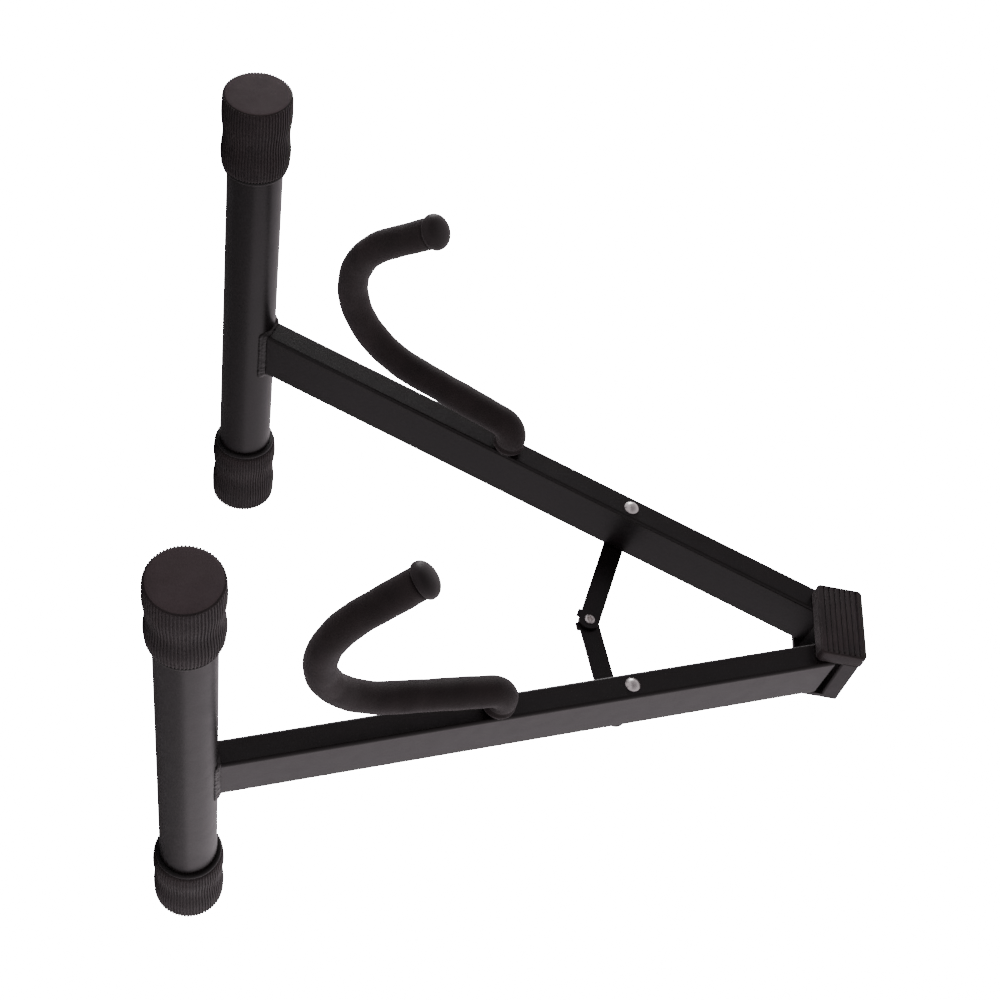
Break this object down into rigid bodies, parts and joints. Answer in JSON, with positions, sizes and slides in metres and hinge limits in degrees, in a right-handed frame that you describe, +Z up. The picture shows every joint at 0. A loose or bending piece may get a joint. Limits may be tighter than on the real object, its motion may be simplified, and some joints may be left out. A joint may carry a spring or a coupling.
{
  "type": "folding guitar stand",
  "caption": "Low folding A-frame guitar stand: two hinged legs on round feet with rubber caps, foam-covered hooks, a ribbed apex pad and a folding brace.",
  "frame": {"origin": "on the floor, in the middle of the stand's footprint", "axes": "+X to the right of someone facing the hooks, -Y the side that the guitar rests on, +Z up"},
  "size_m": [0.291, 0.2632, 0.3172],
  "materials": {
    "frame_paint": "satin black powder coat",
    "cap_rubber": "moulded black rubber, slightly brown-grey",
    "tip_rubber": "smooth black rubber",
    "foam": "fine-celled black foam sleeve, matte",
    "fitting": "moulded black plastic, satin",
    "washer": "black nylon",
    "rivet_steel": "zinc-bright semi-gloss steel"
  },
  "bodies": {
    "apex": {"apex_bracket": "fitting", "apex_pad": "cap_rubber", "left_hinge_pin": "rivet_steel", "right_hinge_pin": "rivet_steel"},
    "left_leg": {"left_leg_tube": "frame_paint", "left_foot_weld": "frame_paint", "left_foot_tube": "frame_paint", "left_front_cap": "cap_rubber", "left_rear_cap": "cap_rubber", "left_hook_rod": "frame_paint", "left_hook_weld": "frame_paint", "left_hook_sleeve": "foam", "left_hook_tip": "tip_rubber", "left_brace_rivet": "rivet_steel", "left_brace_washer": "washer"},
    "right_leg": {"right_leg_tube": "frame_paint", "right_foot_weld": "frame_paint", "right_foot_tube": "frame_paint", "right_front_cap": "cap_rubber", "right_rear_cap": "cap_rubber", "right_hook_rod": "frame_paint", "right_hook_weld": "frame_paint", "right_hook_sleeve": "foam", "right_hook_tip": "tip_rubber", "right_brace_rivet": "rivet_steel", "right_brace_washer": "washer"},
    "link_left": {"brace_link_left": "frame_paint", "brace_centre_rivet": "rivet_steel"},
    "link_right": {"brace_link_right": "frame_paint", "brace_centre_tail": "rivet_steel"}
  },
  "joints": [
    {"name": "left_leg_fold", "type": "hinge", "parent": "apex", "child": "left_leg", "pos_m": [-0.01491, 0.05696, 0.29575], "axis": [0, -0.9906, 0.1367], "range_deg": [0, 20.4]},
    {"name": "right_leg_fold", "type": "hinge", "parent": "apex", "child": "right_leg", "pos_m": [0.01491, 0.05696, 0.29575], "axis": [0, -0.9906, 0.1367], "range_deg": [-20.4, 0]},
    {"name": "left_link_swing", "type": "hinge", "parent": "left_leg", "child": "link_left", "pos_m": [-0.05007, 0.05748, 0.20225], "axis": [0, -0.9906, 0.1367], "range_deg": [-78.39, 0]},
    {"name": "right_link_swing", "type": "hinge", "parent": "right_leg", "child": "link_right", "pos_m": [0.05007, 0.05946, 0.20198], "axis": [0, -0.9906, 0.1367], "range_deg": [0, 78.39]}
  ],
  "couplings": [
    {"joint": "right_leg_fold", "follows": "left_leg_fold", "ratio": -1},
    {"joint": "left_link_swing", "follows": "left_leg_fold", "ratio": -3.8424},
    {"joint": "right_link_swing", "follows": "left_leg_fold", "ratio": 3.8424}
  ]
}
